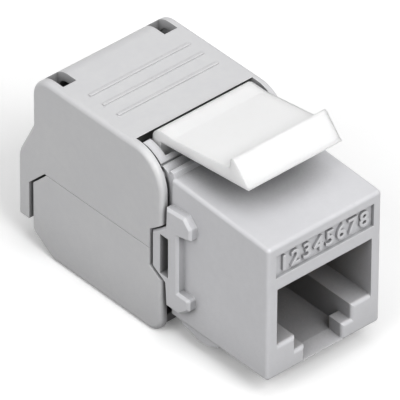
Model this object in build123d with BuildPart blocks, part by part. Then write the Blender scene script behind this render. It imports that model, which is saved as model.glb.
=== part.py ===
from build123d import *
import os

os.makedirs("parts", exist_ok=True)

# Outer sizes, with y counted back from the front face and z up from the underside of the block
overall_length = 35.3
block_half = 7.25
block_depth = 13.7
block_rear_height = 16.5
block_fall = 0.7
block_front_height = block_rear_height - block_fall
block_edge_radius = 0.4
rib_rise = 0.5
cover_half = 8.19
cover_top = block_rear_height + 2.05
cover_bottom = -2.45
side_wall = 0.79
shell = 1.05

# Clearances
swing_gap = 0.35
seam_gap = 0.06
tab_gap = 0.2
pin_clearance = 0.05
seat_gap = 0.05

# Plug port, cut in three steps that follow the plug and its lever
port_half = 6.05
port_low = 3.75
port_high = 10.6
port_rear_wall = 1.5
port_depth = block_depth - port_rear_wall
step_half = 3.6
step_low = 2.0
slot_half = 2.38
slot_low = 0.25
slot_floor = 0.5
stop_length = 1.9
port_rounding = 0.4

# Recess for the row of contact numbers above the port
label_half = 6.25
label_low = port_high + 1.4
label_high = block_front_height - 1.15
label_depth = 0.4

# Panel hook under the block and lugs at its sides
hook_front = block_depth - 6.6
hook_drop = 0.95
lug_half = cover_half - 0.04
lug_front = block_depth - 3.58
lug_waist = block_depth - 1.75
lug_low = 1.68
lug_high = 13.6
lug_rounding = 0.32
lug_bevel = 0.25
tab_rear = block_depth + 2.0
tab_low = 5.46
tab_high = 9.65
window_front = block_depth - 0.43
window_rear = block_depth + 0.75
window_low = tab_low - 0.26
window_high = tab_high + 0.3

# Rear frame of the housing
frame_half = cover_half - side_wall - swing_gap
frame_wall = 0.95
frame_inner = frame_half - frame_wall
frame_low = 1.4
frame_rear = block_depth + 5.2
deck_low = block_rear_height - 2.4
deck_radius = 3.7

# Covers
cover_front = block_depth + 0.5
cover_inner = cover_half - side_wall
cover_rear = overall_length - 2.18
nose_radius = 4.0
roof_front = frame_rear - 0.15
seam_low = 7.4
seam_high = seam_low + seam_gap
ear_gap = 0.35
skirt_bottom = 0.7
cover_rounding = 0.5
skirt_thickness = 1.65
skirt_inner = overall_length - skirt_thickness
ear_rear = skirt_inner - ear_gap
floor_front = block_depth + 1.8
cable_radius = 3.2
roof_hole_width = 1.67
roof_hole_length = 2.82

# Pivots of the two covers and of the latch, as (y, z)
pivot_radius = 0.5
pivot_length = 0.85
upper_pivot = (block_depth + 1.7, block_rear_height - 0.5)
lower_pivot = (block_depth + 1.5, frame_low + 1.0)
latch_pivot = (frame_rear - 1.35, block_rear_height - 0.4)
latch_barrel_radius = 0.55
latch_pin_radius = 0.35
latch_pin_length = 0.6
latch_reach = 13.45
latch_tip = 3.7
latch_barb = 6.2
latch_back = 3.6
latch_arm = 1.3
latch_half = frame_half - 1.15

# Contacts, circuit board and wire terminals
contact_pitch = 1.02
contact_width = 0.42
contact_thickness = 0.3
tray_level = port_high + 1.25
pocket_half = 4.85
pocket_front = 2.5
pocket_high = tray_level + 2.15
board_low = 7.2
board_thickness = 1.2
board_half = frame_inner + 0.4
board_front = block_depth + 0.2
board_inset = 3.9
board_rear = ear_rear - board_inset
terminal_gap = 0.3
terminal_front = frame_rear + terminal_gap
terminal_height = 5.0
terminal_span = board_rear - terminal_front
channel_pitch = (board_half - 0.1) / 2
channel_width = 1.3
channel_depth = 3.4
blade_width = 2.2
blade_thickness = 0.35
blade_height = 4.5
blade_row_step = terminal_span / 2.9
post_row_step = terminal_span / 3.2
presser_half = cover_inner - 0.5
presser_inset = 0.8
presser_thickness = 1.0
dowel_width = 0.74
dowel_inset = 0.9
post_width = 0.7
post_length = 1.2
post_reach = 0.9

# Three planes through the bottom middle of the front face
corner = (0, -overall_length / 2, -cover_bottom)
side = Plane(origin=corner, x_dir=(0, 1, 0), z_dir=(1, 0, 0))
level = Plane(origin=corner, x_dir=(1, 0, 0), z_dir=(0, 0, 1))
face = Plane(origin=corner, x_dir=(1, 0, 0), z_dir=(0, -1, 0))
board_high = board_low + board_thickness
board_middle = board_low + board_thickness / 2
channels = [(n - 1.5) * channel_pitch for n in range(4)]
contacts = [(n - 3.5) * contact_pitch for n in range(8)]
terminal_middle = (terminal_front + board_rear) / 2
blade_rows = [terminal_middle + n * blade_row_step for n in (-0.5, 0.5)]
post_rows = [terminal_middle + n * post_row_step for n in (-1, 0, 1)]
dowel_rows = (terminal_front + dowel_inset, board_rear - dowel_inset)

# One side lug with the tab that reaches back between the covers
lug_base = frame_half - 0.5
with BuildPart() as side_lug:
    with BuildSketch(side.offset(lug_base)):
        with BuildLine():
            FilletPolyline(
                (block_depth, lug_high - 0.1),
                (lug_front + 0.95, lug_high + 0.1),
                (lug_front, lug_high - 0.85),
                (lug_front, tab_high + 1.7),
                (lug_waist, tab_high + 1.25),
                (lug_waist, lug_low + 2.47),
                (lug_front + 0.18, lug_low + 2.47),
                (lug_front + 0.18, lug_low + 1.17),
                (lug_front + 1.58, lug_low),
                (block_depth, lug_low),
                (block_depth + 0.2, tab_low - 1.06),
                (tab_rear, tab_low),
                (tab_rear, tab_high),
                (block_depth + 0.1, tab_high + 1.45),
                radius=[lug_rounding if n in (1, 2, 3, 6, 7, 8) else 0 for n in range(14)],
                close=True,
            )
        make_face()
    extrude(amount=lug_half - lug_base)
    chamfer(side_lug.faces().sort_by(Axis.X)[-1].edges(), lug_bevel)

# Housing: front block with the plug port, lugs, hook and the rear frame
with BuildPart() as jack_housing:
    with BuildSketch(side):
        Polygon(
            (0, 0),
            (block_depth, 0),
            (block_depth, block_rear_height),
            (0, block_front_height),
            align=None,
        )
    extrude(amount=block_half, both=True)
    fillet(jack_housing.edges().sort_by(Axis.Y)[:8], block_edge_radius)
    with BuildSketch(side):
        with BuildLine():
            deck_start = (cover_front + nose_radius, cover_top - nose_radius - 0.05 + deck_radius)
            deck_middle = (deck_start[0] - 1.4, deck_start[1] - 0.275)
            deck_seam = (deck_start[0] - 2.6, deck_start[1] - 1.067)
            Polyline(
                (block_depth - 0.5, block_rear_height - 0.1),
                (block_depth - 0.5, frame_low),
                (frame_rear, frame_low),
                (frame_rear, cover_top - 1.35),
                deck_start,
            )
            ThreePointArc(deck_start, deck_middle, deck_seam)
            Polyline(
                deck_seam,
                (deck_seam[0], deck_seam[1] - 0.25),
                (deck_seam[0] - 0.25, deck_seam[1] - 0.25),
                (deck_seam[0] - 0.25, deck_seam[1] - 0.1),
                (block_depth + 0.9, block_rear_height + 0.25),
                (block_depth + 0.3, block_rear_height - 0.05),
                (block_depth - 0.5, block_rear_height - 0.1),
            )
        make_face()
    extrude(amount=frame_half, both=True)
    with BuildSketch(face.offset(-block_depth)):
        with Locations((0, deck_low / 2)):
            Rectangle(2 * frame_inner, deck_low)
    extrude(amount=-block_depth, mode=Mode.SUBTRACT)
    add(side_lug.part)
    add(mirror(side_lug.part, about=side, mode=Mode.PRIVATE))
    # Rib along the rear top edge of the block
    with BuildSketch(side):
        Polygon(
            (block_depth - 0.12, block_rear_height - 0.1),
            (block_depth + 0.08, block_rear_height + rib_rise),
            (block_depth + 0.5, block_rear_height + rib_rise + 0.1),
            (block_depth + 0.5, block_rear_height - 0.1),
            align=None,
        )
    extrude(amount=frame_half, both=True)
    # Panel hook under the block
    with BuildSketch(side):
        with BuildLine():
            FilletPolyline(
                (hook_front, 0.5),
                (hook_front, -0.1),
                (hook_front + 1.5, 0.2 - hook_drop),
                (hook_front + 3.1, -hook_drop),
                (hook_front + 3.9, 0.4 - hook_drop),
                (hook_front + 5.25, 0.59 - hook_drop),
                (hook_front + 5.25, 0.5),
                radius=[0, 0, 0.4, 0.3, 0.3, 0, 0],
                close=True,
            )
        make_face()
    extrude(amount=block_half - 0.15, both=True)
    # Plug port in three steps
    with BuildSketch(face):
        with Locations((0, (port_low + port_high) / 2)):
            Rectangle(2 * port_half, port_high - port_low)
    extrude(amount=-port_depth, mode=Mode.SUBTRACT)
    with BuildSketch(face):
        with Locations((0, (step_low + port_high) / 2)):
            Rectangle(2 * step_half, port_high - step_low)
    extrude(amount=-port_depth, mode=Mode.SUBTRACT)
    with BuildSketch(face.offset(-stop_length)):
        with Locations((0, (slot_floor + port_low) / 2)):
            Rectangle(2 * step_half, port_low - slot_floor)
    extrude(amount=stop_length - port_depth, mode=Mode.SUBTRACT)
    with BuildSketch(side):
        Polygon(
            (-1, slot_low),
            (0, slot_low),
            (stop_length, slot_floor),
            (stop_length + 1, slot_floor),
            (stop_length + 1, port_low),
            (-1, port_low),
            align=None,
        )
    extrude(amount=slot_half, both=True, mode=Mode.SUBTRACT)
    mouth = jack_housing.edges().filter_by_position(Axis.Y, corner[1] - 0.01, corner[1] + 0.01)
    steps = mouth.filter_by_position(Axis.Z, corner[2] + slot_floor, corner[2] + port_low + 0.01)
    fillet(steps, port_rounding)
    # Label recess
    with BuildSketch(face):
        with Locations((0, (label_low + label_high) / 2)):
            Rectangle(2 * label_half, label_high - label_low)
    extrude(amount=-label_depth, mode=Mode.SUBTRACT)
    # Pocket and side grooves for the contact carrier
    with BuildSketch(face.offset(-pocket_front)):
        with Locations((0, (port_high - 0.1 + pocket_high) / 2)):
            Rectangle(2 * pocket_half, pocket_high - port_high + 0.1)
        with Locations((0, tray_level - 0.15)):
            Rectangle(2 * pocket_half + 1.1, 1.0)
    extrude(amount=pocket_front - block_depth - 0.1, mode=Mode.SUBTRACT)
    # Windows in the lugs
    with BuildSketch(side):
        with Locations(((window_front + window_rear) / 2, (window_low + window_high) / 2)):
            Rectangle(window_rear - window_front, window_high - window_low)
    extrude(amount=lug_half + 1, both=True, mode=Mode.SUBTRACT)
    with BuildSketch(face.offset(-window_front + 0.1)):
        with Locations((0, (window_low + window_high) / 2)):
            Rectangle(2 * frame_inner - 0.1, window_high - window_low + 1)
    extrude(amount=window_front - block_depth - 0.1)
    # Groove for the board in the side rails
    with BuildSketch(level.offset(board_low - seat_gap)):
        with Locations((0, (board_front + frame_rear + 1) / 2)):
            Rectangle(2 * (board_half + seat_gap), frame_rear + 1 - board_front)
    extrude(amount=board_thickness + 2 * seat_gap, mode=Mode.SUBTRACT)
    # Pocket for the foot of the latch
    with BuildSketch(side):
        with BuildLine():
            pocket_low = latch_pivot[1] - latch_barrel_radius - 0.1
            pocket_front_side = (latch_pivot[0] - latch_barrel_radius - 0.1, latch_pivot[1])
            pocket_rear_side = (latch_pivot[0] + latch_barrel_radius + 0.1, latch_pivot[1])
            ThreePointArc(pocket_front_side, (latch_pivot[0], pocket_low), pocket_rear_side)
            Polyline(
                pocket_rear_side,
                (pocket_rear_side[0] + 0.1, pocket_rear_side[1] + 0.3),
                (pocket_rear_side[0] + 0.1, cover_top),
                (latch_pivot[0] - 1.55, cover_top),
                (latch_pivot[0] - 1.55, latch_pivot[1] + 1.0),
                pocket_front_side,
            )
        make_face()
    extrude(amount=latch_half + 0.2, both=True, mode=Mode.SUBTRACT)
    with BuildSketch(side):
        with Locations(latch_pivot):
            Circle(latch_pin_radius + pin_clearance)
    extrude(amount=latch_half + latch_pin_length + seat_gap, both=True, mode=Mode.SUBTRACT)
    # Blind pivot holes for the covers
    for hand in (-1, 1):
        with BuildSketch(side.offset(hand * (cover_inner - pivot_length - seat_gap))):
            with Locations(upper_pivot, lower_pivot):
                Circle(pivot_radius + pin_clearance)
        extrude(amount=hand * (pivot_length + seat_gap), mode=Mode.SUBTRACT)
jack_housing.part.label = "jack_housing"
export_step(jack_housing.part, "parts/jack_housing.step")

# Sprung latch that holds the jack in its panel
with BuildPart() as panel_latch:
    with BuildSketch(side):
        with BuildLine():
            profile = [
                (-latch_reach, latch_tip),
                (0.45 - latch_reach, latch_tip + 0.3),
                (1.6 - latch_reach, latch_barb - 0.9),
                (2.45 - latch_reach, latch_barb),
                (2.85 - latch_reach, latch_barb - 0.15),
                (3.0 - latch_reach, latch_barb - 1.35),
                (5.1 - latch_reach, latch_back + 0.9),
                (8.4 - latch_reach, latch_back + 0.4),
                (11.1 - latch_reach, latch_back),
                (latch_barrel_radius, latch_back),
                (latch_barrel_radius, 0),
                (-latch_barrel_radius, 0),
                (-latch_barrel_radius, latch_back - latch_arm),
                (-latch_barrel_radius - 1.0, latch_back - latch_arm + 0.1),
            ]
            FilletPolyline(
                [(latch_pivot[0] + y, latch_pivot[1] + z) for y, z in profile],
                radius=[0.12, 0.2, 0.5, 0.3, 0.15, 0.3, 3.0, 3.0, 2.0, 1.3, 0, 0, 0.3, 3.0],
                close=True,
            )
        make_face()
        with Locations(latch_pivot):
            Circle(latch_barrel_radius)
    extrude(amount=latch_half, both=True)
    with BuildSketch(side):
        with Locations(latch_pivot):
            Circle(latch_pin_radius)
    extrude(amount=latch_half + latch_pin_length, both=True)
panel_latch.part.label = "panel_latch"
export_step(panel_latch.part, "parts/panel_latch.step")

# Upper cover with cheeks, roof, flared rear and skirt
with BuildPart() as upper_cover:
    with BuildSketch(side):
        with BuildLine():
            FilletPolyline(
                (cover_front, tab_high + 1.39),
                (cover_front, cover_top),
                (cover_rear, cover_top),
                (cover_rear, 12.4),
                (overall_length, 8.06),
                (overall_length, skirt_bottom),
                (skirt_inner, skirt_bottom),
                (skirt_inner, seam_high - 2.35),
                (skirt_inner - 2.35, seam_high),
                (tab_rear + tab_gap, seam_high),
                (tab_rear + tab_gap, tab_high + 0.1),
                radius=[0, nose_radius, 2.4, 0.8, 3.0, 0, 0, 0, 0, 0, 0],
                close=True,
            )
        make_face()
    extrude(amount=cover_half, both=True)
    rim = upper_cover.faces().filter_by(Axis.X).edges()
    upper_rim = rim.filter_by_position(Axis.Z, corner[2] + tab_high + 1.55, 100)
    rear_rim = rim.filter_by_position(Axis.Y, corner[1] + skirt_inner + 0.1, 100)
    rear_rim = rear_rim.filter_by_position(Axis.Z, corner[2] + seam_low / 2, corner[2] + tab_high + 1.55)
    fillet(upper_rim + rear_rim, cover_rounding)
    # Hollow between the side walls
    with BuildSketch(side):
        with BuildLine():
            FilletPolyline(
                (cover_front - 1, cover_top + 1),
                (roof_front, cover_top + 1),
                (roof_front, cover_top),
                (roof_front + shell, cover_top - shell),
                (cover_rear - shell, cover_top - shell),
                (cover_rear - shell, 12.2),
                (skirt_inner, 8.6),
                (skirt_inner, skirt_bottom - 1),
                (cover_front - 1, skirt_bottom - 1),
                radius=[0, 0, 0, 0, 1.2, 0, 0, 0, 0],
                close=True,
            )
        make_face()
    extrude(amount=cover_inner, both=True, mode=Mode.SUBTRACT)
    # Square holes at the rear of the roof
    with BuildSketch(level.offset(cover_top - 2.5)):
        for hand in (-1, 1):
            with Locations((hand * (cover_inner - 0.1 - roof_hole_width / 2), cover_rear - 2.22)):
                Rectangle(roof_hole_width, roof_hole_length)
    extrude(amount=3, mode=Mode.SUBTRACT)
    # Fine ridges across the roof
    with BuildSketch(side):
        for ridge in (6.45, 8.42, 10.54):
            with Locations((cover_rear - ridge, cover_top)):
                Rectangle(0.3, 0.36)
    extrude(amount=cover_inner - 1.04, both=True)
    # Slot for the cable, open downward
    with BuildSketch(face.offset(-overall_length + 4)):
        with Locations((0, seam_low)):
            Circle(cable_radius)
        with Locations((0, seam_low - 4)):
            Rectangle(2 * cable_radius, 8)
    extrude(amount=-5, mode=Mode.SUBTRACT)
    # Pivot pins
    for hand in (-1, 1):
        with BuildSketch(side.offset(hand * (cover_inner - pivot_length))):
            with Locations(upper_pivot):
                Circle(pivot_radius)
        extrude(amount=hand * (pivot_length + 0.1))
upper_cover.part.label = "upper_cover"
export_step(upper_cover.part, "parts/upper_cover.step")

# Lower cover with its side walls and the cable cradle
with BuildPart() as lower_cover:
    with BuildSketch(side):
        with BuildLine():
            FilletPolyline(
                (cover_front + 0.05, cover_bottom),
                (cover_front + 0.05, tab_low - 1.19),
                (tab_rear + tab_gap, tab_low - 0.12),
                (tab_rear + tab_gap, seam_low),
                (ear_rear - 2.25, seam_low),
                (ear_rear, seam_low - 2.25),
                (ear_rear, -0.44),
                (ear_rear - 3.0, cover_bottom),
                radius=[1.8, 0, 0.2, 0, 0, 0, 0.8, 1.2],
                close=True,
            )
        make_face()
    extrude(amount=cover_half, both=True)
    rim = lower_cover.faces().filter_by(Axis.X).edges()
    fillet(rim.filter_by_position(Axis.Z, -1, corner[2] + seam_low / 2 - 0.5), cover_rounding)
    # Hollow between the side walls
    with BuildSketch(side):
        Polygon(
            (cover_front - 1, cover_bottom - 1),
            (floor_front, cover_bottom - 1),
            (floor_front, cover_bottom + shell),
            (ear_rear - 3.4, cover_bottom + shell),
            (ear_rear - shell, 0.1),
            (ear_rear - shell, seam_low + 1),
            (cover_front - 1, seam_low + 1),
            align=None,
        )
    extrude(amount=cover_inner, both=True, mode=Mode.SUBTRACT)
    # Cradle for the cable
    with BuildSketch(face.offset(-ear_rear + 2)):
        with Locations((0, seam_low)):
            Circle(cable_radius)
    extrude(amount=-3, mode=Mode.SUBTRACT)
    # Pivot pins
    for hand in (-1, 1):
        with BuildSketch(side.offset(hand * (cover_inner - pivot_length))):
            with Locations(lower_pivot):
                Circle(pivot_radius)
        extrude(amount=hand * (pivot_length + 0.1))
lower_cover.part.label = "lower_cover"
export_step(lower_cover.part, "parts/lower_cover.step")

# Pressers inside the covers, whose posts push the wires into the blades
for name, hand in (("upper", 1), ("lower", -1)):
    seat = cover_top - shell if hand > 0 else cover_bottom + shell
    reach = board_high + terminal_height if hand > 0 else board_low - terminal_height
    with BuildPart() as wire_presser:
        with BuildSketch(level.offset(seat)):
            with Locations((0, terminal_middle)):
                Rectangle(2 * presser_half, terminal_span - 2 * presser_inset)
        extrude(amount=-hand * presser_thickness)
        with BuildSketch(level.offset(seat)):
            for row in post_rows:
                for channel in channels:
                    with Locations((channel, row)):
                        Rectangle(post_width, post_length)
        extrude(amount=reach - hand * post_reach - seat)
    wire_presser.part.label = f"{name}_wire_presser"
    export_step(wire_presser.part, f"parts/{name}_wire_presser.step")

# Carrier with a groove for each contact wire above and a comb behind the port
with BuildPart() as contact_carrier:
    with BuildSketch(side):
        Polygon(
            (pocket_front + 1.2, tray_level - 0.85),
            (port_depth - 1.2, tray_level - 0.85),
            (port_depth - 1.2, port_high - 4),
            (port_depth - 0.1, port_high - 4),
            (port_depth - 0.1, port_high + seat_gap),
            (block_depth - 0.2, port_high + seat_gap),
            (block_depth - 0.2, tray_level + 0.75),
            (pocket_front + 1.2, tray_level + 0.75),
            align=None,
        )
    extrude(amount=pocket_half - 0.1, both=True)
    with BuildSketch(level.offset(tray_level - 0.6)):
        with Locations((0, (pocket_front + 1.2 + block_depth - 0.2) / 2)):
            Rectangle(2 * pocket_half + 1.0, block_depth - pocket_front - 1.4)
    extrude(amount=0.9)
    with BuildSketch(level.offset(tray_level - contact_thickness / 2 - seat_gap)):
        for x in contacts:
            with Locations((x, block_depth / 2)):
                Rectangle(contact_width + 0.14, block_depth + 2)
    extrude(amount=2, mode=Mode.SUBTRACT)
    with BuildSketch(face.offset(-port_depth + 1.4)):
        for x in contacts:
            with Locations((x, port_high - 1.85)):
                Rectangle(contact_width + 0.14, 3.5)
    extrude(amount=-0.85, mode=Mode.SUBTRACT)
contact_carrier.part.label = "contact_carrier"
export_step(contact_carrier.part, "parts/contact_carrier.step")

# Eight contact wires, their tails in two staggered rows of the board
for number, x in enumerate(contacts, start=1):
    tail = board_front + 1.3 + (number % 2) * 1.6
    with BuildPart() as contact_wire:
        with BuildSketch(side.offset(x - contact_width / 2)):
            with BuildLine():
                FilletPolyline(
                    (tail, board_low),
                    (tail, tray_level),
                    (pocket_front + 0.4, tray_level),
                    (pocket_front + 0.4, tray_level - 1.05),
                    (port_depth - 0.75, port_high - 3.25),
                    radius=[0.6, 0.5, 0.5],
                )
            trace(line_width=contact_thickness)
        extrude(amount=contact_width)
    contact_wire.part.label = f"contact_wire_{number}"
    export_step(contact_wire.part, f"parts/contact_wire_{number}.step")

# Circuit board between the contact wires and the terminals
with BuildPart() as circuit_board:
    with BuildSketch(level.offset(board_low)):
        with Locations((0, (board_front + board_rear) / 2)):
            Rectangle(2 * board_half, board_rear - board_front)
        for number, x in enumerate(contacts, start=1):
            with Locations((x, board_front + 1.3 + (number % 2) * 1.6)):
                RegularPolygon(0.38, 6, mode=Mode.SUBTRACT)
        for x in channels:
            for y in blade_rows:
                with Locations((x, y)):
                    RegularPolygon(0.42, 6, mode=Mode.SUBTRACT)
        for y in dowel_rows:
            with Locations((0, y)):
                Rectangle(dowel_width + 0.06, dowel_width + 0.06, mode=Mode.SUBTRACT)
    extrude(amount=board_thickness)
circuit_board.part.label = "circuit_board"
export_step(circuit_board.part, "parts/circuit_board.step")

# Terminal blocks above and below the board
for name, hand in (("upper", 1), ("lower", -1)):
    seat = board_middle + hand * board_thickness / 2
    with BuildPart() as terminal_block:
        with BuildSketch(level.offset(seat)):
            with Locations((0, terminal_middle)):
                Rectangle(2 * board_half, terminal_span)
        extrude(amount=hand * terminal_height)
        with BuildSketch(level.offset(seat + hand * terminal_height)):
            for x in channels:
                with Locations((x, terminal_middle)):
                    Rectangle(channel_width, 2 * terminal_span)
        extrude(amount=-hand * channel_depth, mode=Mode.SUBTRACT)
        with BuildSketch(level.offset(seat)):
            for order, x in enumerate(channels):
                row = blade_rows[order % 2] if hand > 0 else blade_rows[1 - order % 2]
                with Locations((x, row)):
                    Rectangle(blade_width + 0.1, blade_thickness + 0.1)
        extrude(amount=hand * (terminal_height + 1), mode=Mode.SUBTRACT)
        with BuildSketch(level.offset(seat)):
            for y in dowel_rows:
                with Locations((0, y)):
                    Rectangle(dowel_width, dowel_width)
        extrude(amount=-hand * (board_thickness / 2 - 0.05))
    terminal_block.part.label = f"{name}_terminal_block"
    export_step(terminal_block.part, f"parts/{name}_terminal_block.step")

# Forked blades, 1 to 4 above the board and 5 to 8 below it
for number in range(1, 9):
    order = (number - 1) % 4
    hand = 1 if number < 5 else -1
    seat = board_middle + hand * board_thickness / 2
    row = blade_rows[order % 2] if hand > 0 else blade_rows[1 - order % 2]
    with BuildPart() as idc_blade:
        with BuildSketch(face.offset(-row - blade_thickness / 2)):
            with BuildLine():
                half = blade_width / 2
                edge = [(half, 0), (half, blade_height - 0.5), (half - 0.5, blade_height)]
                fork = [(0.45, blade_height), (0.17, blade_height - 0.9), (0.17, 1.4)]
                foot = [(0.25, -board_thickness), (0.25, 0)]
                right = foot + edge + fork
                outline = right + [(-x, z) for x, z in reversed(right)]
                Polyline([(channels[order] + x, seat + hand * z) for x, z in outline], close=True)
            make_face()
        extrude(amount=blade_thickness)
    idc_blade.part.label = f"idc_blade_{number}"
    export_step(idc_blade.part, f"parts/idc_blade_{number}.step")
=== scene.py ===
import logging
import math
from dataclasses import dataclass, field
from enum import Enum

import bpy
import numpy as np
from mathutils import Matrix, Vector


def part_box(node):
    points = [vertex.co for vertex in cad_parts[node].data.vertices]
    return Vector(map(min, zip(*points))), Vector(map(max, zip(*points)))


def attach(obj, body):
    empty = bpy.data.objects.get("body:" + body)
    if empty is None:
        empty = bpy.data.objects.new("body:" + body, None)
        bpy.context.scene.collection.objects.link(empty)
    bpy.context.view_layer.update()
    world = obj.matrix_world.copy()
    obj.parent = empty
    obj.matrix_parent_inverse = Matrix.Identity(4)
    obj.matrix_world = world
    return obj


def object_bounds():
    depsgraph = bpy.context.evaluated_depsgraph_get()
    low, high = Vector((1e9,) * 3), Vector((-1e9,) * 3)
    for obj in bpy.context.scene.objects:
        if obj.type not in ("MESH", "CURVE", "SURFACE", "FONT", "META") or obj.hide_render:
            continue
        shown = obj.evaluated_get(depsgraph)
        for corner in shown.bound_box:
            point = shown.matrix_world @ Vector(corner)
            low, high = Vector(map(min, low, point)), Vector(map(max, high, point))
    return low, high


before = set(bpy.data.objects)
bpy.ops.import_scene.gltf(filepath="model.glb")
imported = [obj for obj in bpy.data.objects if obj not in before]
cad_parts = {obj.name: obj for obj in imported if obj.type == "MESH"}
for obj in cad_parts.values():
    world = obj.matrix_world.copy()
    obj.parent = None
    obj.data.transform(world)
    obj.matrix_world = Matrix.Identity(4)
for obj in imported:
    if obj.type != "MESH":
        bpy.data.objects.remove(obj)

log = logging.getLogger("keystone_jack")
MM = 0.001
CAD_BOX = [list(corner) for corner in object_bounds()]

Socket = bpy.types.NodeSocket
Tree = bpy.types.NodeTree
Node = bpy.types.Node
Material = bpy.types.Material
Piece = bpy.types.Object
Faces = list[tuple[int, ...]]

# A Mix node has its sockets for colours at these numbers
FIRST_COLOUR, SECOND_COLOUR, MIXED_COLOUR = 6, 7, 2
# Blender's wave texture runs through this many radians in one unit of its coordinates
WAVE_RADIANS = 20.0


class Side(Enum):
    """The terminal block above or below the board, with the way along X in which it is numbered."""

    UPPER = 1
    LOWER = -1


def linear(colour: str) -> tuple[float, float, float, float]:
    """Turn an sRGB hex colour into the linear values that a shader takes.

    Args:
        colour: the colour as six hex digits after a hash sign.

    Returns:
        Red, green, blue and an alpha of 1, each from 0 to 1.
    """
    values = [int(colour[k : k + 2], 16) / 255 for k in (1, 3, 5)]
    red, green, blue = (v / 12.92 if v <= 0.04045 else ((v + 0.055) / 1.055) ** 2.4 for v in values)
    return red, green, blue, 1.0


WHITE = linear("#FFFFFF")


def feed(tree: Tree, node: Node, inputs: dict[str | int, object]) -> None:
    """Give a node's inputs their values or links.

    Args:
        tree: the node tree that holds the node.
        node: the node.
        inputs: a value or another node's output for each input, by name or number.
    """
    for key, value in inputs.items():
        if isinstance(value, Socket):
            tree.links.new(value, node.inputs[key])
        else:
            node.inputs[key].default_value = value


def add_node(
    tree: Tree, kind: str, inputs: dict[str | int, object] | None = None, **settings: object
) -> Node:
    """Add one node to a tree, with its settings, values and links.

    Args:
        tree: the node tree that gets the node.
        kind: the node's type name without the leading ShaderNode.
        inputs: values or output sockets for the node's inputs, by name or number.
        settings: plain properties of the node.

    Returns:
        The new node.
    """
    node = tree.nodes.new("ShaderNode" + kind)
    for name, value in settings.items():
        setattr(node, name, value)
    feed(tree, node, inputs or {})
    return node


def blank_material(name: str) -> tuple[Material, Tree, Node]:
    """Make a material with nothing but a Principled shader in it.

    Args:
        name: the name of the finish.

    Returns:
        The material, its node tree and the Principled node.
    """
    material = bpy.data.materials.new(name)
    material.use_nodes = True
    tree = material.node_tree
    tree.nodes.clear()
    shader = add_node(tree, "BsdfPrincipled")
    add_node(tree, "OutputMaterial", {"Surface": shader.outputs["BSDF"]})
    return material, tree, shader


def seen_rays(tree: Tree) -> Socket:
    """Tell the rays that see a backdrop from those that only carry its light.

    Args:
        tree: the node tree of the backdrop's material or of the world.

    Returns:
        1 for camera, glossy and transmission rays, and 0 for the rest.
    """
    path = add_node(tree, "LightPath").outputs
    mirrored = add_node(
        tree, "Math", {0: path["Is Glossy Ray"], 1: path["Is Transmission Ray"]}, operation="MAXIMUM"
    )
    seen = add_node(tree, "Math", {0: path["Is Camera Ray"], 1: mirrored.outputs[0]}, operation="MAXIMUM")
    return seen.outputs[0]


def cell_scale(size_mm: float) -> float:
    """Return the texture scale at which one pattern cell is size_mm long on Object coordinates."""
    return 1.0 / (size_mm * MM)


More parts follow.
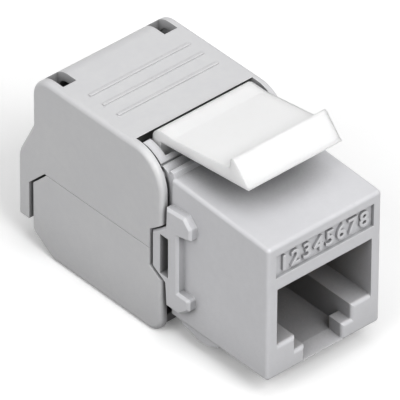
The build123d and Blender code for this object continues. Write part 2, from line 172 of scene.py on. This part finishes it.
@dataclass(frozen=True)
class MouldedPlastic:
    """An injection-moulded plastic with the fine spark-eroded grain of its mould.

    The grain breaks up the highlights, and slow changes in shade follow the flow of the melt.
    Real mould grain is some hundredths of a millimetre, too fine to show, so it is drawn coarser.
    The corners catch light, because no moulded edge is truly sharp, and a paler colour is painted on
    them as a highlight. Recesses get painted shade, darker where little light comes out of them.
    The roughness of every plastic stays above 0.275 all over, because the render shows
    hard-edged patches where a surface crosses about that value.
    """

    name: str
    colour: str
    shade: str
    # The colour painted on the corners as a highlight
    corner_highlight: str
    roughness: float
    grain_mm: float
    grain_height_mm: float
    grain_strength: float = 0.6
    flow_mm: float = 6.0
    speck_mm: float = 0.9
    tint_noise: tuple[float, float] = (0.12, 0.42)
    gloss_noise: tuple[float, float] = (0.25, 0.75)
    gloss_spread: float = 0.04
    edge_mm: float = 0.13
    # The turn of the normal at which the painted corner highlight starts and is full
    highlight_cosines: tuple[float, float] = (0.97, 0.75)
    recess_mm: float = 14.0
    recess_openness: tuple[float, float] = (0.12, 0.7)
    # The darkest painted shade in recesses, as a share of the colour
    recess_shade: float = 0.2
    ior: float = 1.53
    subsurface: float = 0.0
    light_depth_mm: float = 1.5

    def melt_tint(self, tree: Tree, place: Socket, speck: Socket) -> Socket:
        """Vary the tint with the flow of the melt and with small specks.

        Args:
            tree: the material's node tree.
            place: the Object coordinates.
            speck: the noise of the specks.

        Returns:
            The tint.
        """
        flow = add_node(
            tree,
            "TexNoise",
            {"Vector": place, "Scale": cell_scale(self.flow_mm), "Detail": 3.0, "Roughness": 0.5},
        )
        blend = add_node(tree, "Math", {0: flow.outputs["Fac"], 1: speck}, operation="MULTIPLY")
        low, high = self.tint_noise
        span = add_node(tree, "MapRange", {"Value": blend.outputs[0], "From Min": low, "From Max": high})
        colours = {FIRST_COLOUR: linear(self.shade), SECOND_COLOUR: linear(self.colour)}
        tint = add_node(tree, "Mix", {"Factor": span.outputs["Result"]} | colours, data_type="RGBA")
        return tint.outputs[MIXED_COLOUR]

    def paint_corner_highlight(self, tree: Tree, tint: Socket, rounded: Socket) -> Socket:
        """Paint a highlight on the corners, paler where the rounded normal turns away from the face's
        own.

        Args:
            tree: the material's node tree.
            tint: the colour of the open faces.
            rounded: the normal with rounded corners.

        Returns:
            The colour with a painted highlight on the corners.
        """
        flat = add_node(tree, "NewGeometry").outputs["Normal"]
        turn = add_node(tree, "VectorMath", {0: rounded, 1: flat}, operation="DOT_PRODUCT")
        # Painted highlight: the corners take the paler colour as the rounded normal turns away from the
        # face
        whole, highlit = self.highlight_cosines
        highlight_mask = add_node(
            tree, "MapRange", {"Value": turn.outputs["Value"], "From Min": whole, "From Max": highlit}
        )
        colours = {FIRST_COLOUR: tint, SECOND_COLOUR: linear(self.corner_highlight)}
        mixed = add_node(tree, "Mix", {"Factor": highlight_mask.outputs["Result"]} | colours, data_type="RGBA")
        return mixed.outputs[MIXED_COLOUR]

    def paint_recess_shade(self, tree: Tree, tint: Socket) -> Socket:
        """Paint shade into the colour of the places that see little of the room.

        Args:
            tree: the material's node tree.
            tint: the colour before shading.

        Returns:
            The colour times a painted shade between recess_shade and 1.
        """
        # Painted shade: ambient occlusion darkens the colour in recesses and under parts
        openness = add_node(tree, "AmbientOcclusion", {"Distance": self.recess_mm * MM}, samples=8)
        deep, clear = self.recess_openness
        shade = add_node(
            tree,
            "MapRange",
            {
                "Value": openness.outputs["AO"],
                "From Min": deep,
                "From Max": clear,
                "To Min": self.recess_shade,
            },
        )
        mixed = add_node(
            tree,
            "Mix",
            {"Factor": 1.0, FIRST_COLOUR: tint, SECOND_COLOUR: shade.outputs["Result"]},
            data_type="RGBA",
            blend_type="MULTIPLY",
        )
        return mixed.outputs[MIXED_COLOUR]

    def build(self) -> Material:
        """Make the material.

        Returns:
            A material on Object coordinates.
        """
        material, tree, shader = blank_material(self.name)
        place = add_node(tree, "TexCoord").outputs["Object"]
        speck = add_node(
            tree,
            "TexNoise",
            {"Vector": place, "Scale": cell_scale(self.speck_mm), "Detail": 4.0, "Roughness": 0.6},
        ).outputs["Fac"]
        rounded = add_node(tree, "Bevel", {"Radius": self.edge_mm * MM}, samples=6).outputs["Normal"]
        # The tint gets the painted corner highlight
        tint = self.paint_corner_highlight(tree, self.melt_tint(tree, place, speck), rounded)
        smooth, rough = self.gloss_noise
        gloss = add_node(
            tree,
            "MapRange",
            {
                "Value": speck,
                "From Min": smooth,
                "From Max": rough,
                "To Min": self.roughness - self.gloss_spread,
                "To Max": self.roughness + self.gloss_spread,
            },
        )
        grain = add_node(
            tree,
            "TexNoise",
            {"Vector": place, "Scale": cell_scale(self.grain_mm), "Detail": 2.0, "Roughness": 0.55},
        )
        bump = add_node(
            tree,
            "Bump",
            {
                "Height": grain.outputs["Fac"],
                "Distance": self.grain_height_mm * MM,
                "Strength": self.grain_strength,
                "Normal": rounded,
            },
        )
        skin = {
            # The base colour carries the painted recess shade
            "Base Color": self.paint_recess_shade(tree, tint),
            "Roughness": gloss.outputs["Result"],
            "Normal": bump.outputs["Normal"],
            "IOR": self.ior,
        }
        feed(tree, shader, skin)
        if self.subsurface:
            depth = {
                "Subsurface Weight": self.subsurface,
                "Subsurface Radius": (1.0, 1.0, 1.0),
                "Subsurface Scale": self.light_depth_mm * MM,
            }
            feed(tree, shader, depth)
        return material


@dataclass(frozen=True)
class PlatedMetal:
    """A thin stamped metal strip with a plated skin.

    Drawing lines run along the strip, and the plating is a little uneven, so the shine
    changes from place to place. Real lines are too fine to show, so they are drawn coarser.
    """

    name: str
    colour: str
    worn_colour: str
    roughness: float
    line_mm: float
    stretch: tuple[float, float, float]
    line_height_mm: float = 0.004
    line_strength: float = 0.5
    patch_mm: float = 1.4
    gloss_noise: tuple[float, float] = (0.3, 0.7)
    shinier: float = 0.07
    duller: float = 0.1

    def build(self) -> Material:
        """Make the material.

        Returns:
            A metal on Object coordinates.
        """
        material, tree, shader = blank_material(self.name)
        place = add_node(tree, "TexCoord").outputs["Object"]
        along = add_node(tree, "Mapping", {"Vector": place, "Scale": self.stretch}).outputs["Vector"]
        lines = add_node(
            tree, "TexNoise", {"Vector": along, "Scale": cell_scale(self.line_mm), "Detail": 3.0}
        ).outputs["Fac"]
        patch = add_node(
            tree, "TexNoise", {"Vector": place, "Scale": cell_scale(self.patch_mm), "Detail": 3.0}
        )
        colours = {FIRST_COLOUR: linear(self.colour), SECOND_COLOUR: linear(self.worn_colour)}
        tint = add_node(tree, "Mix", {"Factor": patch.outputs["Fac"]} | colours, data_type="RGBA")
        smooth, rough = self.gloss_noise
        gloss = add_node(
            tree,
            "MapRange",
            {
                "Value": lines,
                "From Min": smooth,
                "From Max": rough,
                "To Min": self.roughness - self.shinier,
                "To Max": self.roughness + self.duller,
            },
        )
        bump = add_node(
            tree,
            "Bump",
            {"Height": lines, "Distance": self.line_height_mm * MM, "Strength": self.line_strength},
        )
        skin = {
            "Base Color": tint.outputs[MIXED_COLOUR],
            "Roughness": gloss.outputs["Result"],
            "Normal": bump.outputs["Normal"],
            "Metallic": 1.0,
        }
        feed(tree, shader, skin)
        return material


@dataclass(frozen=True)
class LacqueredLaminate:
    """Glass-fibre circuit board under green solder lacquer.

    The woven cloth shows as a faint grid, and copper tracks lie under the lacquer as paler
    raised bands that run from the contacts to the terminals. The sawn edges have no lacquer, so
    they show the yellowish laminate.
    """

    name: str
    lacquer: str
    over_copper: str
    cut_edge: str
    track_pitch_mm: float
    weave_mm: float
    weave_share: float = 0.12
    relief_mm: float = 0.03
    relief_strength: float = 0.6
    sway_mm: float = 7.0
    sway_reach_mm: float = 2.0
    track_wave: tuple[float, float] = (0.62, 0.7)
    level_normal: float = 0.5
    roughness: float = 0.28
    coat: float = 0.3

    def tracks(self, tree: Tree, place: Socket, level: Socket) -> Socket:
        """Lay gently swaying tracks on the level faces.

        Args:
            tree: the material's node tree.
            place: the Object coordinates.
            level: 1 on the level faces and 0 on the sawn edges.

        Returns:
            1 on a track and 0 beside it.
        """
        sway = add_node(
            tree, "TexNoise", {"Vector": place, "Scale": cell_scale(self.sway_mm), "Detail": 1.0}
        )
        reach = (self.sway_reach_mm * MM, 0.0, 0.0)
        bent = add_node(tree, "VectorMath", {0: sway.outputs["Color"], 1: reach}, operation="MULTIPLY")
        moved = add_node(tree, "VectorMath", {0: place, 1: bent.outputs["Vector"]}, operation="ADD")
        scale = cell_scale(self.track_pitch_mm) * math.tau / WAVE_RADIANS
        bands = add_node(
            tree,
            "TexWave",
            {"Vector": moved.outputs["Vector"], "Scale": scale},
            wave_type="BANDS",
            bands_direction="X",
        )
        beside, on = self.track_wave
        track = add_node(
            tree,
            "MapRange",
            {"Value": bands.outputs["Fac"], "From Min": beside, "From Max": on, "To Max": level},
        )
        return track.outputs["Result"]

    def build(self) -> Material:
        """Make the material.

        Returns:
            A lacquered board on Object coordinates.
        """
        material, tree, shader = blank_material(self.name)
        coordinates = add_node(tree, "TexCoord").outputs
        place = coordinates["Object"]
        turned = add_node(tree, "SeparateXYZ", {"Vector": coordinates["Normal"]})
        steep = add_node(tree, "Math", {0: turned.outputs["Z"]}, operation="ABSOLUTE")
        level = add_node(
            tree, "Math", {0: steep.outputs[0], 1: self.level_normal}, operation="GREATER_THAN"
        ).outputs[0]
        track = self.tracks(tree, place, level)
        weave = add_node(tree, "TexChecker", {"Vector": place, "Scale": cell_scale(self.weave_mm)})
        greens = {FIRST_COLOUR: linear(self.lacquer), SECOND_COLOUR: linear(self.over_copper)}
        green = add_node(tree, "Mix", {"Factor": track} | greens, data_type="RGBA")
        parts = {FIRST_COLOUR: linear(self.cut_edge), SECOND_COLOUR: green.outputs[MIXED_COLOUR]}
        tint = add_node(tree, "Mix", {"Factor": level} | parts, data_type="RGBA")
        height = add_node(
            tree,
            "Math",
            {0: weave.outputs["Fac"], 1: self.weave_share, 2: track},
            operation="MULTIPLY_ADD",
        )
        bump = add_node(
            tree,
            "Bump",
            {
                "Height": height.outputs[0],
                "Distance": self.relief_mm * MM,
                "Strength": self.relief_strength,
            },
        )
        skin = {
            "Base Color": tint.outputs[MIXED_COLOUR],
            "Normal": bump.outputs["Normal"],
            "Roughness": self.roughness,
            "Coat Weight": self.coat,
        }
        feed(tree, shader, skin)
        return material


def place_mesh(name: str, points: np.ndarray, faces: Faces, material: Material) -> Piece:
    """Put ready vertices and faces into a mesh object at the origin.

    Args:
        name: the name of the piece.
        points: one row of x, y, z in metres for each vertex.
        faces: the vertex numbers of each face.
        material: the finish of the piece.

    Returns:
        The object, linked to the scene.
    """
    mesh = bpy.data.meshes.new(name)
    mesh.from_pydata(points.tolist(), [], faces)
    mesh.materials.append(material)
    mesh.update()
    piece = bpy.data.objects.new(name, mesh)
    bpy.context.scene.collection.objects.link(piece)
    return piece


@dataclass
class RaisedNumbers:
    """A row of small moulded numbers that stand proud of a flat face.

    Each number is set centred on its own place in the row, with its foot a little in the face.
    """

    texts: list[str]
    places_mm: list[float]
    height_mm: float
    rise_mm: float
    edge_mm: float
    sunk_mm: float = 0.02
    size_per_height: float = 1.38
    edge_steps: int = 2
    curve_steps: int = 6

    def glyph(self, text: str) -> tuple[np.ndarray, Faces]:
        """Turn one number into a mesh that lies in the XY plane and rises along Z.

        Args:
            text: the number.

        Returns:
            Its vertices in metres, with the middle of their box at zero, and its faces.
        """
        curve = bpy.data.curves.new("glyph", "FONT")
        curve.body = text
        curve.size = self.height_mm * MM * self.size_per_height
        curve.extrude = self.rise_mm * MM / 2
        curve.bevel_depth = self.edge_mm * MM
        curve.bevel_resolution = self.edge_steps
        curve.resolution_u = self.curve_steps
        holder = bpy.data.objects.new("glyph", curve)
        bpy.context.scene.collection.objects.link(holder)
        shaped = holder.evaluated_get(bpy.context.evaluated_depsgraph_get())
        mesh = bpy.data.meshes.new_from_object(shaped)
        points = np.empty(len(mesh.vertices) * 3)
        mesh.vertices.foreach_get("co", points)
        points = points.reshape(-1, 3)
        faces = [tuple(face.vertices) for face in mesh.polygons]
        bpy.data.objects.remove(holder)
        bpy.data.curves.remove(curve)
        bpy.data.meshes.remove(mesh)
        middle = (points.min(axis=0) + points.max(axis=0)) / 2
        return points - middle, faces

    def build(
        self, name: str, origin: Vector, across: Vector, upright: Vector, material: Material
    ) -> Piece:
        """Set the whole row on a face.

        Each vertex goes to origin + across * (place + x) + upright * y + outward * (z + lift),
        where outward is across x upright, and lift brings half of the rise, less what is sunk,
        above the face.

        Args:
            name: the name of the piece.
            origin: the middle of the row on the face, in metres.
            across: unit vector along the row.
            upright: unit vector from the foot to the head of a number.
            material: the finish of the numbers.

        Returns:
            One object with every number of the row.
        """
        outward = across.cross(upright)
        basis = np.array([across, upright, outward])
        lift = self.rise_mm * MM / 2 - self.sunk_mm * MM
        rows: list[np.ndarray] = []
        faces: Faces = []
        start = 0
        for text, place in zip(self.texts, self.places_mm):
            points, polygons = self.glyph(text)
            points = points + np.array([place * MM, 0.0, lift])
            rows.append(points @ basis + np.array(origin))
            faces += [tuple(start + v for v in polygon) for polygon in polygons]
            start += len(points)
        return place_mesh(name, np.vstack(rows), faces, material)


@dataclass
class Dressing:
    """The finishes of every node that comes from the solids."""

    # Satin ABS spreads the light, so the shell looks even and soft, without mirror highlights
    housing: MouldedPlastic = MouldedPlastic(
        name="moulded_grey_abs_housing",
        colour="#D6D6D9",
        shade="#D1D1D4",
        corner_highlight="#F6F6F7",
        roughness=0.32,
        grain_mm=0.14,
        grain_height_mm=0.004,
    )
    # The covers come from another mould with a coarser grain, so they look a little duller
    cover: MouldedPlastic = MouldedPlastic(
        name="moulded_grey_abs_cover",
        colour="#D4D4D5",
        shade="#CFCFD1",
        corner_highlight="#EEEEEF",
        roughness=0.34,
        grain_mm=0.16,
        grain_height_mm=0.005,
        # The covers get lighter painted shade in their recesses
        recess_shade=0.4,
    )
    # Acetal is waxy, and light goes into it and comes out beside, so it seems to glow
    latch: MouldedPlastic = MouldedPlastic(
        name="moulded_white_acetal",
        colour="#FAFAF9",
        shade="#F9F9F7",
        corner_highlight="#FFFFFF",
        roughness=0.3,
        grain_mm=0.25,
        grain_height_mm=0.002,
        gloss_spread=0.01,
        # The latch gets almost no painted shade
        recess_shade=0.95,
        subsurface=1.0,
    )
    # Black nylon is matt, and its corners get a painted highlight, so they show against the dark of the
    # port
    carrier: MouldedPlastic = MouldedPlastic(
        name="moulded_black_nylon",
        colour="#33353A",
        shade="#2A2C30",
        corner_highlight="#4B4D53",
        roughness=0.4,
        grain_mm=0.2,
        grain_height_mm=0.005,
    )
    # Grey polycarbonate has a shallower mould grain than the shell and a warmer tint
    terminal: MouldedPlastic = MouldedPlastic(
        name="moulded_clear_grey_polycarbonate",
        colour="#D9DAD6",
        shade="#CFD0CC",
        corner_highlight="#EFEFEC",
        roughness=0.33,
        grain_mm=0.3,
        grain_height_mm=0.003,
    )
    # Gold on drawn wire is bright, with fine lines along the wire that break its highlights
    contact: PlatedMetal = PlatedMetal(
        name="gold_plated_phosphor_bronze",
        colour="#E8B85A",
        worn_colour="#D8A245",
        roughness=0.17,
        line_mm=0.08,
        stretch=(1.0, 0.08, 0.08),
    )
    # Tin is a dull silver, with stamping lines that run up the blade
    blade: PlatedMetal = PlatedMetal(
        name="tin_plated_spring_bronze",
        colour="#C9CBCC",
        worn_colour="#B4B6B8",
        roughness=0.36,
        line_mm=0.07,
        stretch=(1.0, 1.0, 0.1),
    )
    # Lacquer makes the board glossy green, and paler where copper lies under it
    board: LacqueredLaminate = LacqueredLaminate(
        name="lacquered_glass_fibre_board",
        lacquer="#1F5A35",
        over_copper="#2F7A48",
        cut_edge="#7C8F55",
        track_pitch_mm=1.02,
        weave_mm=0.25,
    )
    made: dict[str, Material] = field(default_factory=dict)

    def finish(self, name: str) -> Material:
        """Return the material of one finish, made on its first use.

        Args:
            name: the finish's field name.

        Returns:
            The Blender material.
        """
        if name not in self.made:
            self.made[name] = getattr(self, name).build()
        return self.made[name]

    def which(self, node: str) -> str:
        """Say which finish a node takes.

        Args:
            node: the node's name.

        Returns:
            The finish's field name.
        """
        named = {
            "jack_housing": "housing",
            "panel_latch": "latch",
            "contact_carrier": "carrier",
            "circuit_board": "board",
            "upper_cover": "cover",
            "lower_cover": "cover",
        }
        if node in named:
            return named[node]
        if node.endswith(("terminal_block", "wire_presser")):
            return "terminal"
        return "contact" if node.startswith("contact_wire") else "blade"

    def dress(self) -> None:
        """Give every node its finish."""
        for name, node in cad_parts.items():
            node.data.materials.clear()
            node.data.materials.append(self.finish(self.which(name)))
            log.info("dressed %s as %s", name, self.which(name))


@dataclass
class HousingMarks:
    """The row of contact numbers in the recess above the port.

    The block's underside is measured from the lowest point of the covers, and the middle of the
    recess from that underside.
    """

    underside_mm: float = 2.45
    recess_middle_mm: float = 13.325
    recess_depth_mm: float = 0.4
    number_height_mm: float = 1.75
    rise_mm: float = 0.3
    edge_mm: float = 0.05
    pitch_mm: float = 1.46
    numbers: int = 8

    def build(self, dressing: Dressing) -> Piece:
        """Raise the numbers 1 to 8 from the floor of the recess.

        Args:
            dressing: the finishes of the jack.

        Returns:
            The row of numbers.
        """
        low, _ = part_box("jack_housing")
        cover_low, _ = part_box("lower_cover")
        level = cover_low[2] + (self.underside_mm + self.recess_middle_mm) * MM
        origin = Vector((0.0, low[1] + self.recess_depth_mm * MM, level))
        texts = [str(k + 1) for k in range(self.numbers)]
        places = [(k - (self.numbers - 1) / 2) * self.pitch_mm for k in range(self.numbers)]
        row = RaisedNumbers(texts, places, self.number_height_mm, self.rise_mm, self.edge_mm)
        across, upright = Vector((1, 0, 0)), Vector((0, 0, 1))
        piece = row.build("contact_numbers", origin, across, upright, dressing.finish("housing"))
        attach(piece, "frame")
        return piece


@dataclass
class TerminalMarks:
    """The wire numbers beside the channels of a terminal block.

    Each number stands on the wall that follows its channel, so the last one is on the outer
    wall. The walls' places are measured along the row from the middle of the block.
    """

    walls_mm: tuple[float, float, float, float] = (-3.2, 0.0, 3.2, 5.95)
    number_height_mm: float = 1.0
    rise_mm: float = 0.12
    edge_mm: float = 0.02
    rear_inset_mm: float = 1.1

    def build(self, side: Side, dressing: Dressing) -> Piece:
        """Raise four numbers on the outer face of one block.

        Args:
            side: the block above or below the board.
            dressing: the finishes of the jack.

        Returns:
            The row of numbers.
        """
        name = side.name.lower()
        low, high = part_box(f"{name}_terminal_block")
        level = high[2] if side is Side.UPPER else low[2]
        origin = Vector((0.0, high[1] - self.rear_inset_mm * MM, level))
        first = 1 if side is Side.UPPER else 1 + len(self.walls_mm)
        texts = [str(first + k) for k in range(len(self.walls_mm))]
        row = RaisedNumbers(texts, list(self.walls_mm), self.number_height_mm, self.rise_mm, self.edge_mm)
        across, upright = Vector((side.value, 0, 0)), Vector((0, 1, 0))
        piece = row.build(f"wire_numbers_{name}", origin, across, upright, dressing.finish("terminal"))
        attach(piece, "frame")
        return piece


def direction(azimuth: float, elevation: float) -> Vector:
    """Return the unit vector towards an azimuth from the front and a height, both in degrees."""
    turn, rise = math.radians(azimuth), math.radians(elevation)
    return Vector((math.sin(turn) * math.cos(rise), -math.cos(turn) * math.cos(rise), math.sin(rise)))


@dataclass(frozen=True)
class Lamp:
    """A soft square lamp that faces the object, at a direction in degrees round and above it."""

    name: str
    azimuth: float
    elevation: float
    side_m: float
    watts: float
    reach_m: float = 0.9

    def hang(self) -> None:
        """Put the lamp in the scene."""
        data = bpy.data.lights.new(self.name, "AREA")
        data.shape = "SQUARE"
        data.size = self.side_m
        data.energy = self.watts
        way = direction(self.azimuth, self.elevation)
        holder = bpy.data.objects.new(self.name, data)
        holder.location = way * self.reach_m
        holder.rotation_euler = way.to_track_quat("Z", "Y").to_euler()
        bpy.context.scene.collection.objects.link(holder)


@dataclass
class Studio:
    """Camera, lamps, room light and floor."""

    target_mm: tuple[float, float, float] = (-0.59, -0.44, 11.06)
    azimuth: float = -41.71
    elevation: float = 37.54
    roll: float = 0.35
    distance_mm: float = 873.9
    lens_mm: float = 818.2
    sensor_mm: float = 36.0
    view_end_m: float = 20.0
    room_light: float = 0.26
    floor_m: float = 3.0
    floor_colour: str = "#888888"
    floor_roughness: float = 0.9
    shadow_m: float = 0.06
    horizon_m: float = 0.5
    shadow_glow: float = 0.12
    lamps: tuple[Lamp, ...] = (
        Lamp("overhead", azimuth=-10.0, elevation=80.0, side_m=0.7, watts=1.8),
        Lamp("left", azimuth=-85.0, elevation=38.0, side_m=0.6, watts=2.85),
        Lamp("front", azimuth=-5.0, elevation=43.0, side_m=0.5, watts=4.95),
    )

    def camera(self) -> None:
        """Set the camera at the photograph's angle, aimed at the target."""
        data = bpy.data.cameras.new("camera")
        data.lens = self.lens_mm
        data.sensor_width = self.sensor_mm
        data.clip_end = self.view_end_m
        turn = math.radians(self.azimuth)
        right = Vector((math.cos(turn), math.sin(turn), 0.0))
        back = direction(self.azimuth, self.elevation)
        basis = Matrix((right, back.cross(right), back)).transposed()
        basis = basis @ Matrix.Rotation(math.radians(self.roll), 3, "Z")
        place = Vector(self.target_mm) * MM + back * self.distance_mm * MM
        holder = bpy.data.objects.new("camera", data)
        holder.matrix_world = Matrix.Translation(place) @ basis.to_4x4()
        bpy.context.scene.collection.objects.link(holder)
        bpy.context.scene.camera = holder

    def world(self) -> None:
        """Light the room evenly and show white behind the floor."""
        world = bpy.data.worlds.new("studio")
        bpy.context.scene.world = world
        world.use_nodes = True
        tree = world.node_tree
        tree.nodes.clear()
        strength = add_node(
            tree, "MapRange", {"Value": seen_rays(tree), "To Min": self.room_light, "To Max": 1.0}
        )
        light = add_node(tree, "Background", {"Color": WHITE, "Strength": strength.outputs["Result"]})
        add_node(tree, "OutputWorld", {"Surface": light.outputs["Background"]})

    def floor(self) -> None:
        """Lay the plain pale floor that takes the object's shadow.

        The floor is white to the rays that see it and grey to those that carry its light. What
        is seen glows a little near the object, so that the shadow stays, and more with distance,
        so that it is plain white at the horizon.
        """
        material, tree, shader = blank_material("pale_studio_floor")
        seen = seen_rays(tree)
        greys = {FIRST_COLOUR: linear(self.floor_colour), SECOND_COLOUR: WHITE}
        tint = add_node(tree, "Mix", {"Factor": seen} | greys, data_type="RGBA")
        place = add_node(tree, "TexCoord").outputs["Object"]
        away = add_node(tree, "VectorMath", {0: place}, operation="LENGTH")
        glow = add_node(
            tree,
            "MapRange",
            {
                "Value": away.outputs["Value"],
                "From Min": self.shadow_m,
                "From Max": self.horizon_m,
                "To Min": self.shadow_glow,
                "To Max": 1.0,
            },
        )
        lift = add_node(tree, "Math", {0: seen, 1: glow.outputs["Result"]}, operation="MULTIPLY")
        skin = {
            "Base Color": tint.outputs[MIXED_COLOUR],
            "Emission Strength": lift.outputs[0],
            "Emission Color": WHITE,
            "Roughness": self.floor_roughness,
            "Specular IOR Level": 0.0,
        }
        feed(tree, shader, skin)
        half = self.floor_m / 2
        level = CAD_BOX[0][2]
        corners = [(-half, -half, level), (half, -half, level), (half, half, level), (-half, half, level)]
        piece = place_mesh("floor", np.array(corners), [(0, 1, 2, 3)], material)

    def build(self) -> None:
        """Set up the view, the room, the floor and the lamps."""
        bpy.context.scene.view_settings.view_transform = "Standard"
        self.camera()
        self.world()
        self.floor()
        for lamp in self.lamps:
            lamp.hang()


def main() -> None:
    """Build the scene in order: studio, finishes, then the raised numbers."""
    logging.basicConfig(level=logging.INFO, format="%(name)s: %(message)s")
    Studio().build()
    log.info("studio ready")
    dressing = Dressing()
    dressing.dress()
    log.info("built %s", HousingMarks().build(dressing).name)
    for side in Side:
        log.info("built %s", TerminalMarks().build(side, dressing).name)


if __name__ == "__main__":
    main()
